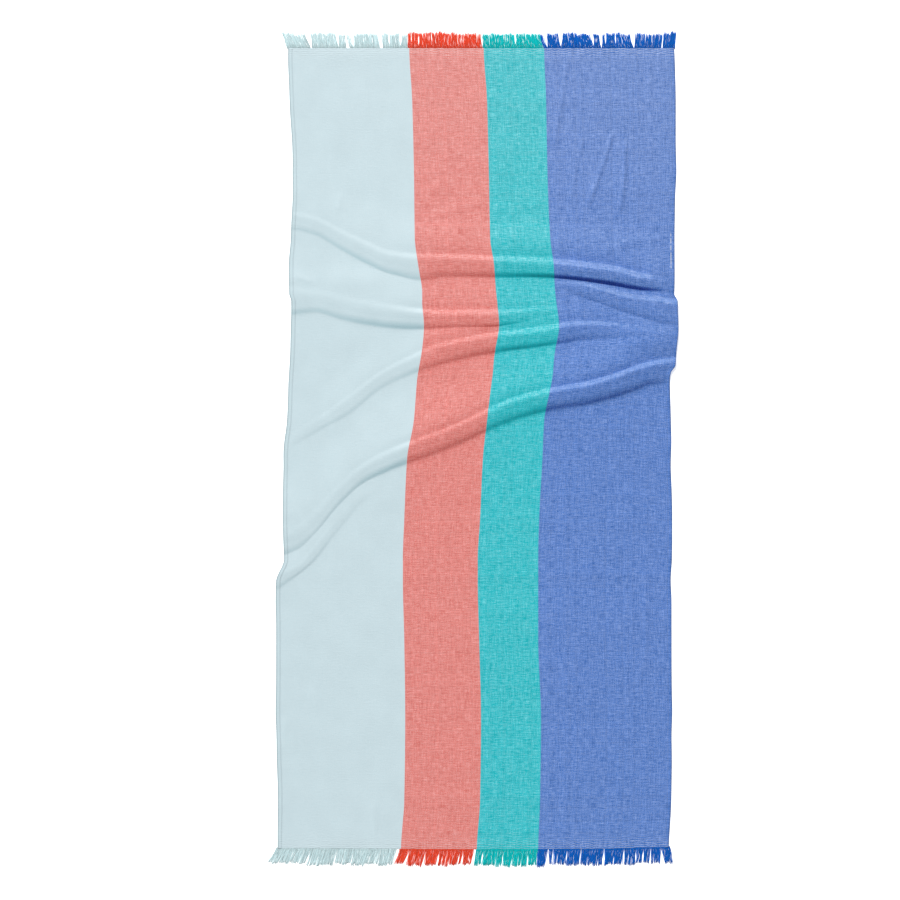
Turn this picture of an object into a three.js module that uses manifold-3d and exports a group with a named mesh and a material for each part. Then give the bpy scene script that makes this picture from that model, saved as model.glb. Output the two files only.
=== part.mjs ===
// A flat-woven Turkish towel with four lengthwise stripes and a short fringe at both ends.
// It lies flat, with one set of rumpled folds across its upper middle.
// Millimetres. X runs across the towel, Y along it towards the top end, and Z up.
import * as THREE from 'three';
import Module from 'manifold-3d';

// Driving sizes of the cloth
const CLOTH_LENGTH = 1742;
const CLOTH_THICKNESS = 1.2;
const HEM_WIDTH = 10;
const HEM_THICKNESS = 2.2;
const HEM_STEP = 1.5;
const HEM_START = HEM_WIDTH - HEM_STEP;

// Driving sizes of the fringe
const HEADING_WIDTH = 3.5;
const HEADING_GAP = 0.3;
const END_MARGIN = HEADING_WIDTH + HEADING_GAP;
const HEADING_STEP = 45;
const LOCK_PITCH = 6.8;
const LOCK_BITE = 2;
const LOCK_CLEARANCE = 1.6;

// How unevenly the locks lie: the sway of a tip, the bow halfway, and how much shorter some are
const LOCK_SWAY = 1;
const LOCK_BOW = 0.8;
const LOCK_SHORTER = 4;

// Rings of one lock from its root to its tip. Each ring is a triangle that stands on the surface.
const LOCK_RINGS = [
  { share: 0, width: 3.4, height: 1 },
  { share: 0.55, width: 4.2, height: 2 },
  { share: 1, width: 2.4, height: 1.3 },
];

// Stripes from left to right, with the width that each takes of the flat cloth, and the number of
// steps that its surface is divided into
const STRIPES = [
  { name: 'pale', width: 270, steps: 12, colour: 0xc9dfe4 },
  { name: 'coral', width: 163, steps: 8, colour: 0xe0837b },
  { name: 'teal', width: 131, steps: 6, colour: 0x43bdb9 },
  { name: 'blue', width: 286, steps: 13, colour: 0x5b77c9 },
];
const CLOTH_WIDTH = STRIPES.reduce((sum, stripe) => sum + stripe.width, 0);

// Where the left edge, the three stripe borders and the right edge lie across the surface, in
// sections along the towel from its top end
const SECTIONS = [
  { along: 0, left: -405, coral: -144, teal: 18, blue: 151, right: 434 },
  { along: 110, left: -403, coral: -138, teal: 25, blue: 155, right: 438 },
  { along: 265, left: -395, coral: -134, teal: 29, blue: 158, right: 438 },
  { along: 415, left: -399, coral: -132, teal: 32, blue: 164, right: 434 },
  { along: 470, left: -403, coral: -125, teal: 40, blue: 171, right: 434 },
  { along: 534, left: -403, coral: -116, teal: 45, blue: 175, right: 434 },
  { along: 551, left: -399, coral: -116, teal: 47, blue: 177, right: 442 },
  { along: 605, left: -399, coral: -112, teal: 51, blue: 183, right: 442 },
  { along: 655, left: -401, coral: -116, teal: 43, blue: 175, right: 439 },
  { along: 690, left: -403, coral: -122, teal: 39, blue: 171, right: 437 },
  { along: 706, left: -404, coral: -125, teal: 38, blue: 170, right: 427 },
  { along: 720, left: -405, coral: -127, teal: 36, blue: 168, right: 425 },
  { along: 810, left: -408, coral: -134, teal: 25, blue: 151, right: 427 },
  { along: 895, left: -416, coral: -149, teal: 16, blue: 147, right: 427 },
  { along: 1025, left: -416, coral: -155, teal: 10, blue: 140, right: 429 },
  { along: 1110, left: -414, coral: -158, teal: 5, blue: 138, right: 429 },
  { along: 1160, left: -432, coral: -158, teal: 5, blue: 138, right: 427 },
  { along: 1285, left: -432, coral: -155, teal: 8, blue: 138, right: 429 },
  { along: 1460, left: -432, coral: -153, teal: 12, blue: 144, right: 429 },
  { along: 1635, left: -427, coral: -155, teal: 10, blue: 142, right: 427 },
  { along: CLOTH_LENGTH, left: -429, coral: -162, teal: 3, blue: 138, right: 423 },
];
const EDGE_NAMES = ['left', 'coral', 'teal', 'blue', 'right'];

// The bottom end bows a little: how far each part of it falls short of the full length
const BOTTOM_END = [
  { weft: 0, short: 2 },
  { weft: 430, short: 0 },
  { weft: 700, short: 1 },
  { weft: 850, short: 5 },
];

// Folds from the top end down. A station gives, at a distance across the cloth from its left edge,
// where the crest lies along the towel, how far it rises, and how wide its upper and lower flanks
// are. A rise of zero carries the surface's rows on where the fold has died out.
// rowsBefore counts the rows on the flat cloth between this fold and the one before it.
const FOLDS = [
  {
    name: 'upper',
    rowsBefore: 3,
    stations: [
      { weft: 0, crest: 375, rise: 3.3, up: 30, down: 15 },
      { weft: 52, crest: 385, rise: 4.2, up: 30, down: 16 },
      { weft: 107, crest: 414, rise: 5.2, up: 34, down: 17 },
      { weft: 165, crest: 444, rise: 7.2, up: 40, down: 20 },
      { weft: 215, crest: 467, rise: 8.2, up: 43, down: 21 },
      { weft: 270, crest: 473, rise: 9.5, up: 41, down: 26 },
      { weft: 320, crest: 470, rise: 10.5, up: 35, down: 22 },
      { weft: 430, crest: 474, rise: 12, up: 33, down: 19 },
      { weft: 540, crest: 481, rise: 14, up: 38, down: 13.5 },
      { weft: 600, crest: 487, rise: 16.5, up: 40, down: 12 },
      { weft: 650, crest: 493, rise: 17.5, up: 41, down: 12 },
      { weft: 705, crest: 500, rise: 17, up: 40, down: 12 },
      { weft: 770, crest: 511, rise: 13.5, up: 33, down: 11 },
      { weft: 800, crest: 513, rise: 8, up: 29, down: 11 },
      { weft: 825, crest: 515, rise: 4, up: 23, down: 10 },
      { weft: 850, crest: 517, rise: 2, up: 20, down: 9 },
    ],
  },
  {
    name: 'upper right',
    rowsBefore: 0,
    stations: [
      { weft: 0, crest: 440, rise: 0, up: 20, down: 15 },
      { weft: 270, crest: 522, rise: 0, up: 12, down: 9 },
      { weft: 550, crest: 512, rise: 0, up: 10, down: 8 },
      { weft: 575, crest: 516, rise: 3, up: 12, down: 8 },
      { weft: 615, crest: 522, rise: 5.5, up: 20, down: 12 },
      { weft: 650, crest: 529, rise: 7.5, up: 22, down: 17 },
      { weft: 705, crest: 546, rise: 10, up: 29, down: 20 },
      { weft: 760, crest: 557, rise: 13, up: 29, down: 24 },
      { weft: 800, crest: 566, rise: 13, up: 40, down: 25 },
      { weft: 825, crest: 571, rise: 10.5, up: 41, down: 25 },
      { weft: 850, crest: 573, rise: 6, up: 40, down: 24 },
    ],
  },
  {
    name: 'middle left',
    rowsBefore: 0,
    stations: [
      { weft: 0, crest: 555, rise: 6, up: 60, down: 18 },
      { weft: 50, crest: 552, rise: 5, up: 45, down: 17 },
      { weft: 100, crest: 564, rise: 6.5, up: 47, down: 19 },
      { weft: 155, crest: 575, rise: 8.5, up: 44, down: 20 },
      { weft: 205, crest: 582, rise: 9.5, up: 39, down: 20 },
      { weft: 270, crest: 587, rise: 10.5, up: 30, down: 19 },
      { weft: 310, crest: 589, rise: 11.5, up: 29, down: 18 },
      { weft: 420, crest: 590, rise: 12.5, up: 32, down: 16 },
      { weft: 475, crest: 584, rise: 8, up: 23, down: 14 },
      { weft: 525, crest: 578, rise: 4.5, up: 21, down: 13 },
      { weft: 580, crest: 574, rise: 3.5, up: 18, down: 10 },
      { weft: 640, crest: 578, rise: 0, up: 10, down: 8 },
      { weft: 850, crest: 600, rise: 0, up: 8, down: 6 },
    ],
  },
  {
    name: 'middle',
    rowsBefore: 0,
    stations: [
      { weft: 0, crest: 862, rise: 0, up: 12, down: 10 },
      { weft: 30, crest: 842, rise: 1.4, up: 26, down: 12 },
      { weft: 75, crest: 813, rise: 2, up: 27, down: 12 },
      { weft: 137, crest: 770, rise: 3.2, up: 36, down: 17 },
      { weft: 196, crest: 719, rise: 3.2, up: 29, down: 17 },
      { weft: 248, crest: 690, rise: 4.6, up: 32, down: 18 },
      { weft: 285, crest: 673, rise: 6.8, up: 36, down: 19 },
      { weft: 311, crest: 664, rise: 9, up: 35, down: 19.5 },
      { weft: 420, crest: 639, rise: 11, up: 30, down: 20 },
      { weft: 475, crest: 634, rise: 12, up: 33, down: 17 },
      { weft: 525, crest: 628, rise: 12, up: 34, down: 17 },
      { weft: 585, crest: 617, rise: 11.5, up: 33, down: 19 },
      { weft: 640, crest: 611, rise: 9, up: 26, down: 19 },
      { weft: 700, crest: 614, rise: 6, up: 26, down: 17 },
      { weft: 770, crest: 621, rise: 3.5, up: 20, down: 15 },
      { weft: 850, crest: 624, rise: 0, up: 14, down: 12 },
    ],
  },
  {
    name: 'long diagonal',
    rowsBefore: 0,
    stations: [
      { weft: 0, crest: 1074, rise: 6, up: 34, down: 21 },
      { weft: 30, crest: 1065, rise: 5, up: 43, down: 21 },
      { weft: 72, crest: 1032, rise: 4.5, up: 51, down: 21 },
      { weft: 126, crest: 968, rise: 5, up: 36, down: 20 },
      { weft: 180, crest: 920, rise: 6.8, up: 32, down: 19 },
      { weft: 232, crest: 894, rise: 8.8, up: 36, down: 19 },
      { weft: 285, crest: 870, rise: 10.5, up: 32, down: 22 },
      { weft: 334, crest: 849, rise: 11.5, up: 27, down: 24 },
      { weft: 375, crest: 832, rise: 11.5, up: 29, down: 24 },
      { weft: 439, crest: 801, rise: 12.5, up: 30, down: 24 },
      { weft: 490, crest: 779, rise: 13.5, up: 30, down: 24 },
      { weft: 540, crest: 765, rise: 15, up: 30, down: 23.5 },
      { weft: 599, crest: 751, rise: 16, up: 25, down: 25 },
      { weft: 650, crest: 743, rise: 16.5, up: 26, down: 26 },
      { weft: 715, crest: 728, rise: 16.5, up: 31, down: 25 },
      { weft: 771, crest: 711, rise: 15, up: 39, down: 25 },
      { weft: 800, crest: 702, rise: 14, up: 34, down: 23 },
      { weft: 825, crest: 700, rise: 11, up: 39, down: 23 },
      { weft: 850, crest: 700, rise: 7, up: 44, down: 21 },
    ],
  },
  {
    name: 'lower left',
    rowsBefore: 0,
    stations: [
      { weft: 0, crest: 1153, rise: 3.5, up: 32, down: 17 },
      { weft: 30, crest: 1139, rise: 3, up: 25, down: 14 },
      { weft: 71, crest: 1096, rise: 2.6, up: 30, down: 13 },
      { weft: 128, crest: 1028, rise: 1.6, up: 27, down: 12 },
      { weft: 183, crest: 970, rise: 1, up: 18, down: 9 },
      { weft: 240, crest: 945, rise: 0, up: 8, down: 6 },
      { weft: 430, crest: 900, rise: 0, up: 20, down: 20 },
      { weft: 850, crest: 830, rise: 0, up: 30, down: 30 },
    ],
  },
];
const ROWS_AFTER_FOLDS = 5;
const LEAST_ROW_STEP = 0.9;

// Steps over one fold: -1 is the start of the upper flank, 0 the crest and 1 the foot
const FOLD_STEPS = [-1, -0.66, -0.33, 0, 0.4, 0.75, 1];

// Groups of fringe locks from left to right. from and to are the places of the first and last root
// across the surface, leanFrom and leanTo how far their tips lean from them, and reach the length
// of the longest locks.
const TOP_GROUPS = [
  { from: -402, to: -360, leanFrom: -14, leanTo: -13, reach: 30 },
  { from: -349, to: -299, leanFrom: -4, leanTo: -7, reach: 32 },
  { from: -290, to: -283, leanFrom: -2, leanTo: -2, reach: 29 },
  { from: -266, to: -266, leanFrom: -9, leanTo: -9, reach: 28 },
  { from: -258, to: -210, leanFrom: -2, leanTo: -4, reach: 30 },
  { from: -195, to: -166, leanFrom: -4, leanTo: -2, reach: 30 },
  { from: -158, to: -149, leanFrom: 2, leanTo: 0, reach: 28 },
  { from: -141, to: -125, leanFrom: 0, leanTo: 0, reach: 32 },
  { from: -117, to: -40, leanFrom: -1, leanTo: -1, reach: 32 },
  { from: -31, to: 5, leanFrom: -1, leanTo: -4, reach: 30 },
  { from: 13, to: 13, leanFrom: -2, leanTo: -2, reach: 28 },
  { from: 22, to: 86, leanFrom: -3, leanTo: -2, reach: 30 },
  { from: 94, to: 107, leanFrom: -2, leanTo: -2, reach: 30 },
  { from: 116, to: 145, leanFrom: -3, leanTo: -7, reach: 30 },
  { from: 155, to: 155, leanFrom: -9, leanTo: -9, reach: 30 },
  { from: 163, to: 182, leanFrom: -3, leanTo: -3, reach: 30 },
  { from: 190, to: 214, leanFrom: 3, leanTo: -4, reach: 31 },
  { from: 224, to: 255, leanFrom: -5, leanTo: -9, reach: 30 },
  { from: 264, to: 272, leanFrom: -3, leanTo: -4, reach: 29 },
  { from: 281, to: 310, leanFrom: 0, leanTo: -2, reach: 30 },
  { from: 319, to: 342, leanFrom: -7, leanTo: -7, reach: 30 },
  { from: 351, to: 401, leanFrom: 3, leanTo: 4, reach: 30 },
  { from: 413, to: 431, leanFrom: 2, leanTo: 4, reach: 32 },
];
const BOTTOM_GROUPS = [
  { from: -426, to: -395, leanFrom: -20, leanTo: -13, reach: 31 },
  { from: -386, to: -358, leanFrom: -13, leanTo: -13, reach: 31 },
  { from: -350, to: -301, leanFrom: -13, leanTo: -11, reach: 35 },
  { from: -292, to: -266, leanFrom: -8, leanTo: -9, reach: 31 },
  { from: -258, to: -234, leanFrom: -9, leanTo: -11, reach: 35 },
  { from: -224, to: -212, leanFrom: -13, leanTo: -11, reach: 31 },
  { from: -204, to: -173, leanFrom: -10, leanTo: -9, reach: 33 },
  { from: -158, to: -146, leanFrom: -12, leanTo: -11, reach: 31 },
  { from: -137, to: -110, leanFrom: -9, leanTo: -9, reach: 34 },
  { from: -102, to: -79, leanFrom: -4, leanTo: -9, reach: 33 },
  { from: -71, to: -55, leanFrom: -7, leanTo: -8, reach: 34 },
  { from: -47, to: -27, leanFrom: -7, leanTo: -7, reach: 33 },
  { from: -19, to: -6, leanFrom: -4, leanTo: -5, reach: 33 },
  { from: 8, to: 45, leanFrom: -5, leanTo: -4, reach: 33 },
  { from: 53, to: 114, leanFrom: -4, leanTo: -5, reach: 35 },
  { from: 122, to: 134, leanFrom: -2, leanTo: -2, reach: 34 },
  { from: 143, to: 155, leanFrom: -4, leanTo: -8, reach: 36 },
  { from: 166, to: 166, leanFrom: -1, leanTo: -1, reach: 33 },
  { from: 176, to: 197, leanFrom: -2, leanTo: -2, reach: 32 },
  { from: 206, to: 227, leanFrom: -4, leanTo: -4, reach: 33 },
  { from: 237, to: 277, leanFrom: -4, leanTo: -4, reach: 33 },
  { from: 287, to: 321, leanFrom: -2, leanTo: -4, reach: 33 },
  { from: 330, to: 347, leanFrom: -3, leanTo: -2, reach: 34 },
  { from: 356, to: 379, leanFrom: -4, leanTo: -3, reach: 33 },
  { from: 388, to: 401, leanFrom: -1, leanTo: 0, reach: 33 },
  { from: 409, to: 420, leanFrom: 7, leanTo: 7, reach: 33 },
];

const ENDS = [
  { name: 'top', groups: TOP_GROUPS, outward: 1 },
  { name: 'bottom', groups: BOTTOM_GROUPS, outward: -1 },
];

// Value of one column of a table at a place between its rows. The curve is smooth and never
// overshoots: its slope at a row is the harmonic mean of the grades on both sides, zero at a peak
// and at the ends, and past the ends the value stays level.
function readTable(table, key, column, place) {
  const last = table.length - 1;
  const held = THREE.MathUtils.clamp(place, table[0][key], table[last][key]);
  const after = table.findIndex((row, index) => index > 0 && row[key] >= held);
  const grade = (index) => {
    const run = table[index + 1][key] - table[index][key];
    return (table[index + 1][column] - table[index][column]) / run;
  };
  const slope = (index) => {
    if (index === 0 || index === last) return 0;
    const product = grade(index - 1) * grade(index);
    return product > 0 ? (2 * product) / (grade(index - 1) + grade(index)) : 0;
  };
  const span = table[after][key] - table[after - 1][key];
  const t = (held - table[after - 1][key]) / span;
  const blend = t * t * (3 - 2 * t);
  const fromStart = t * (1 - t) * (1 - t) * span * slope(after - 1);
  const fromEnd = t * t * (1 - t) * span * slope(after);
  return THREE.MathUtils.lerp(table[after - 1][column], table[after][column], blend) + fromStart - fromEnd;
}

// A number between 0 and 1 that looks random and is always the same for the same two indices
function scatter(index, series) {
  const raw = Math.sin(index * 12.9898 + series * 78.233) * 43758.5453;
  return raw - Math.floor(raw);
}

// Distances across the cloth of the five stripe edges
function stripeMarks() {
  const marks = [0];
  for (const stripe of STRIPES) {
    marks.push(marks[marks.length - 1] + stripe.width);
  }
  return marks;
}
const MARKS = stripeMarks();

// Place across the surface of a point at the distance weft across the cloth, in one section
function placeAcross(weft, along) {
  const after = MARKS.findIndex((mark, index) => index > 0 && mark >= weft);
  const share = (weft - MARKS[after - 1]) / (MARKS[after] - MARKS[after - 1]);
  const start = readTable(SECTIONS, 'along', EDGE_NAMES[after - 1], along);
  const end = readTable(SECTIONS, 'along', EDGE_NAMES[after], along);
  return THREE.MathUtils.lerp(start, end, share);
}

// Height of a fold as a share of its rise: a soft wave up to the crest, then a flank that steepens
// down to a sharp crease at the foot
function foldHeight(step) {
  return step < 0 ? 0.5 * (1 + Math.cos(Math.PI * step)) : 1 - step * step;
}

// Distance along the towel of the woven cloth's end, at a distance across the cloth
function endOfCloth(end, weft) {
  return end.name === 'top' ? 0 : CLOTH_LENGTH - readTable(BOTTOM_END, 'weft', 'short', weft);
}

// Points of the underside down one line of the cloth, from the top end to the bottom end
function pointsDown(weft) {
  const [top, bottom] = ENDS.map((end) => endOfCloth(end, weft) + end.outward * END_MARGIN);
  const points = [{ along: top, height: 0 }];
  const levelTo = (along, rows) => {
    const start = points[points.length - 1].along;
    for (let row = 1; row <= rows; row += 1) {
      points.push({ along: THREE.MathUtils.lerp(start, along, row / (rows + 1)), height: 0 });
    }
  };
  for (const fold of FOLDS) {
    const columns = ['crest', 'rise', 'up', 'down'];
    const [crest, rise, up, down] = columns.map((column) => readTable(fold.stations, 'weft', column, weft));
    levelTo(crest - up, fold.rowsBefore);
    for (const step of FOLD_STEPS) {
      const least = points[points.length - 1].along + LEAST_ROW_STEP;
      const along = Math.max(least, crest + step * (step < 0 ? up : down));
      points.push({ along, height: rise * foldHeight(step) });
    }
  }
  levelTo(bottom, ROWS_AFTER_FOLDS);
  points.push({ along: bottom, height: 0 });
  return points;
}

// Distances across the cloth of the lines of points: the hems' edges and even steps of each stripe
function linesAcross() {
  const lines = [0, HEM_START, HEM_WIDTH];
  STRIPES.forEach((stripe, index) => {
    const start = index === 0 ? HEM_WIDTH : MARKS[index];
    const end = index === STRIPES.length - 1 ? CLOTH_WIDTH - HEM_WIDTH : MARKS[index + 1];
    for (let step = 1; step <= stripe.steps; step += 1) {
      lines.push(THREE.MathUtils.lerp(start, end, step / stripe.steps));
    }
  });
  lines.push(CLOTH_WIDTH - HEM_START, CLOTH_WIDTH);
  return lines;
}

function thicknessAt(weft) {
  const inFromEdge = Math.min(weft, CLOTH_WIDTH - weft);
  return inFromEdge < HEM_WIDTH - HEM_STEP / 2 ? HEM_THICKNESS : CLOTH_THICKNESS;
}

// Grid of points on the underside, one list for each line across
function undersideGrid(lines) {
  return lines.map((weft) =>
    pointsDown(weft).map(
      ({ along, height }) => new THREE.Vector3(placeAcross(weft, along), CLOTH_LENGTH / 2 - along, height),
    ),
  );
}

// The upper surface lies off the underside by the cloth's thickness, square to it
function upperGrid(under, lines) {
  const lastLine = under.length - 1;
  const lastRow = under[0].length - 1;
  return under.map((line, i) =>
    line.map((point, j) => {
      const across = under[Math.min(i + 1, lastLine)][j].clone().sub(under[Math.max(i - 1, 0)][j]);
      const down = line[Math.min(j + 1, lastRow)].clone().sub(line[Math.max(j - 1, 0)]);
      const normal = down.cross(across).normalize();
      return point.clone().addScaledVector(normal, thicknessAt(lines[i]));
    }),
  );
}

// The woven cloth: both grids, joined all round their rims. Each cell is split along its shorter
// diagonal, and its faces carry the colour of its stripe.
function makeCloth() {
  const lines = linesAcross();
  const under = undersideGrid(lines);
  const upper = upperGrid(under, lines);
  const lastLine = lines.length - 1;
  const lastRow = under[0].length - 1;
  const positions = [];
  const colours = [];

  function addTriangle(corners, line) {
    const weft = (lines[line] + lines[line + 1]) / 2;
    const stripe = STRIPES[MARKS.findIndex((mark) => mark > weft) - 1];
    const colour = new THREE.Color(stripe.colour);
    for (const corner of corners) {
      positions.push(corner.x, corner.y, corner.z);
      colours.push(colour.r, colour.g, colour.b);
    }
  }
  function addQuad(a, b, c, d, line, splitAC) {
    const triangles = splitAC ? [[a, b, c], [a, c, d]] : [[a, b, d], [b, c, d]];
    triangles.forEach((corners) => addTriangle(corners, line));
  }

  for (let i = 0; i < lastLine; i += 1) {
    for (let j = 0; j < lastRow; j += 1) {
      const [a, b, c, d] = [under[i][j], under[i][j + 1], under[i + 1][j + 1], under[i + 1][j]];
      const [e, f, g, h] = [upper[i][j], upper[i][j + 1], upper[i + 1][j + 1], upper[i + 1][j]];
      const splitAC = a.distanceTo(c) < b.distanceTo(d);
      addQuad(a, d, c, b, i, splitAC);
      addQuad(e, f, g, h, i, splitAC);
    }
    addQuad(under[i][0], upper[i][0], upper[i + 1][0], under[i + 1][0], i, true);
    addQuad(under[i + 1][lastRow], upper[i + 1][lastRow], upper[i][lastRow], under[i][lastRow], i, true);
  }
  for (let j = 0; j < lastRow; j += 1) {
    addQuad(under[0][j + 1], upper[0][j + 1], upper[0][j], under[0][j], 0, true);
    const [near, far] = [under[lastLine], upper[lastLine]];
    addQuad(near[j], far[j], far[j + 1], near[j + 1], lastLine - 1, true);
  }

  const geometry = new THREE.BufferGeometry();
  geometry.setAttribute('position', new THREE.Float32BufferAttribute(positions, 3));
  geometry.setAttribute('color', new THREE.Float32BufferAttribute(colours, 3));
  geometry.computeVertexNormals();
  const material = new THREE.MeshStandardMaterial({ vertexColors: true, roughness: 0.95, metalness: 0 });
  const cloth = new THREE.Mesh(geometry, material);
  cloth.name = 'cloth';
  return cloth;
}

const wasm = await Module();
wasm.setup();

function toSolid(vertProperties, triVerts) {
  const mesh = new wasm.Mesh({
    numProp: 3,
    vertProperties: new Float32Array(vertProperties),
    triVerts: new Uint32Array(triVerts),
  });
  return new wasm.Manifold(mesh);
}

function toGeometry(solid) {
  const mesh = solid.getMesh();
  const geometry = new THREE.BufferGeometry();
  geometry.setAttribute('position', new THREE.Float32BufferAttribute(mesh.vertProperties, 3));
  geometry.setIndex(new THREE.Uint32BufferAttribute(mesh.triVerts, 1));
  geometry.computeVertexNormals();
  return geometry;
}

// A solid skinned over rings of corners. Every ring has as many corners, turning anticlockwise
// when seen from the last ring, and flat ends close the first and last rings.
function skinRings(rings) {
  const count = rings[0].length;
  const vertices = rings.flat().flatMap((corner) => corner.toArray());
  const triangles = [];
  for (let ring = 0; ring < rings.length - 1; ring += 1) {
    for (let k = 0; k < count; k += 1) {
      const [a, b] = [ring * count + k, ring * count + ((k + 1) % count)];
      triangles.push(a, b, b + count, a, b + count, a + count);
    }
  }
  const lastRing = (rings.length - 1) * count;
  for (let k = 1; k < count - 1; k += 1) {
    triangles.push(0, k + 1, k, lastRing, lastRing + k, lastRing + k + 1);
  }
  return toSolid(vertices, triangles);
}

// Y of the outer edge of an end's heading, at a place across the surface
function headingEdge(end, across) {
  const section = end.name === 'top' ? SECTIONS[0] : SECTIONS[SECTIONS.length - 1];
  const weft = THREE.MathUtils.mapLinear(across, section.left, section.right, 0, CLOTH_WIDTH);
  return CLOTH_LENGTH / 2 - endOfCloth(end, weft);
}

// The narrow woven heading that one stripe's locks grow from, skinned over four-cornered rings
function makeHeading(end, start, finish) {
  const steps = Math.ceil((finish - start) / HEADING_STEP);
  const rings = [];
  for (let step = 0; step <= steps; step += 1) {
    const across = THREE.MathUtils.lerp(start, finish, step / steps);
    const outer = headingEdge(end, across);
    const inner = outer - end.outward * HEADING_WIDTH;
    const [low, high] = [Math.min(inner, outer), Math.max(inner, outer)];
    rings.push([
      new THREE.Vector3(across, low, 0),
      new THREE.Vector3(across, high, 0),
      new THREE.Vector3(across, high, CLOTH_THICKNESS),
      new THREE.Vector3(across, low, CLOTH_THICKNESS),
    ]);
  }
  return skinRings(rings);
}

// One lock: three-sided rings along a slightly bowed line from root to tip, flat on the surface
function makeLock(end, lock) {
  const rootY = headingEdge(end, lock.root) - end.outward * LOCK_BITE;
  const length = lock.reach + LOCK_BITE;
  const rings = LOCK_RINGS.map(({ share, width, height }, index) => {
    const y = rootY + end.outward * length * share;
    const x = lock.places[index];
    const toSide = (width / 2) * end.outward;
    return [
      new THREE.Vector3(x + toSide, y, 0),
      new THREE.Vector3(x - toSide, y, 0),
      new THREE.Vector3(x, y, height),
    ];
  });
  return skinRings(rings);
}

// All locks of one end from left to right, each clear of the one before it at every ring
function locksOf(end) {
  const locks = [];
  for (const group of end.groups) {
    const count = Math.round((group.to - group.from) / LOCK_PITCH) + 1;
    for (let k = 0; k < count; k += 1) {
      const share = count > 1 ? k / (count - 1) : 0;
      const root = THREE.MathUtils.lerp(group.from, group.to, share);
      const sway = 2 * scatter(locks.length, end.outward) - 1;
      const lean = THREE.MathUtils.lerp(group.leanFrom, group.leanTo, share) + LOCK_SWAY * sway;
      const reach = group.reach - LOCK_SHORTER * scatter(locks.length, 2 * end.outward);
      const places = LOCK_RINGS.map((ring, index) => {
        const bow = LOCK_BOW * sway * Math.sin(Math.PI * ring.share);
        const wanted = root + lean * ring.share + bow;
        const before = locks.length ? locks[locks.length - 1].places[index] : -Infinity;
        return Math.max(wanted, before + ring.width + (ring.share > 0 ? LOCK_CLEARANCE : 0));
      });
      locks.push({ root, reach, places });
    }
  }
  return locks;
}

// One stripe's fringe at one end: its heading with the locks that grow from it
function makeFringe(end, stripe, index) {
  const section = end.name === 'top' ? SECTIONS[0] : SECTIONS[SECTIONS.length - 1];
  const start = section[EDGE_NAMES[index]] + (index > 0 ? HEADING_GAP / 2 : 0);
  const finish = section[EDGE_NAMES[index + 1]] - (index < STRIPES.length - 1 ? HEADING_GAP / 2 : 0);
  let solid = makeHeading(end, start, finish);
  for (const lock of locksOf(end)) {
    if (lock.root > start && lock.root < finish) {
      solid = solid.add(makeLock(end, lock));
    }
  }
  const material = new THREE.MeshStandardMaterial({ color: stripe.colour, roughness: 0.95, metalness: 0 });
  const fringe = new THREE.Mesh(toGeometry(solid), material);
  fringe.name = `fringe_${end.name}_${stripe.name}`;
  return fringe;
}

const towel = new THREE.Group();
towel.add(makeCloth());
for (const end of ENDS) {
  STRIPES.forEach((stripe, index) => towel.add(makeFringe(end, stripe, index)));
}

// The origin is under the middle of the whole towel, on the surface that it lies on
const box = new THREE.Box3().setFromObject(towel);
const middle = box.getCenter(new THREE.Vector3());
towel.position.set(-middle.x, -middle.y, -box.min.z);

export default towel;
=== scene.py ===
import bpy
import numpy as np
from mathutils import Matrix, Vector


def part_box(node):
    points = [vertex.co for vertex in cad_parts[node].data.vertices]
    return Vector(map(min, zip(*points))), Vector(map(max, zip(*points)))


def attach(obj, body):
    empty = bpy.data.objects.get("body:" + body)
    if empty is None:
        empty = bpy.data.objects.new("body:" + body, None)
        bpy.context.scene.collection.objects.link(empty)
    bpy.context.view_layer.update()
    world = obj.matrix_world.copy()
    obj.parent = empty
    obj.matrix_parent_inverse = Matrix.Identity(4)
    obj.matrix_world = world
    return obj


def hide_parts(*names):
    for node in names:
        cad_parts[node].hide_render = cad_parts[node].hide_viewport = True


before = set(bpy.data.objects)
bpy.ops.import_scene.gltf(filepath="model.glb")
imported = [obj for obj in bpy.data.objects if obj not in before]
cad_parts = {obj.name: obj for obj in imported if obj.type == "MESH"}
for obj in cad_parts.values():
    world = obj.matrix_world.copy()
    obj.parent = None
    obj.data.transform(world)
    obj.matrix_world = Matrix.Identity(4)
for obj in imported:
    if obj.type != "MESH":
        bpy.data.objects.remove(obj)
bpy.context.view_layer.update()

MM = 0.001

# The picture's frame: how wide it is on the table, and where its middle lies
VIEW_WIDTH = 1956.6
VIEW_MIDDLE = (-53.3, -2.9)
LENS = 100
SENSOR = 36


def look_straight_down():
    """Camera above the picture's middle. Its distance is view width times lens over sensor."""
    data = bpy.data.cameras.new("camera")
    data.lens = LENS
    data.sensor_width = SENSOR
    data.clip_end = 50
    camera = bpy.data.objects.new("camera", data)
    bpy.context.scene.collection.objects.link(camera)
    distance = VIEW_WIDTH * MM * LENS / SENSOR
    middle = on_table(*VIEW_MIDDLE)
    camera.location = (middle[0], middle[1], distance)
    bpy.context.scene.camera = camera


# Sizes of the cloth, as in the part's source
CLOTH_LENGTH = 1742
CLOTH_THICKNESS = 1.2
HEM_WIDTH = 10
HEM_THICKNESS = 2.2
HEM_STEP = 1.5
HEM_ROUND = HEM_THICKNESS / 2
END_MARGIN = 3.8

# Stripes from left to right: width in the flat cloth, and how far apart the lines of points are
STRIPES = {
    "pale": (270, 4.4),
    "coral": (163, 3.7),
    "teal": (131, 3.2),
    "blue": (286, 2.75),
}
MARKS = np.concatenate([[0], np.cumsum([width for width, _ in STRIPES.values()])])
CLOTH_WIDTH = MARKS[-1]

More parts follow.
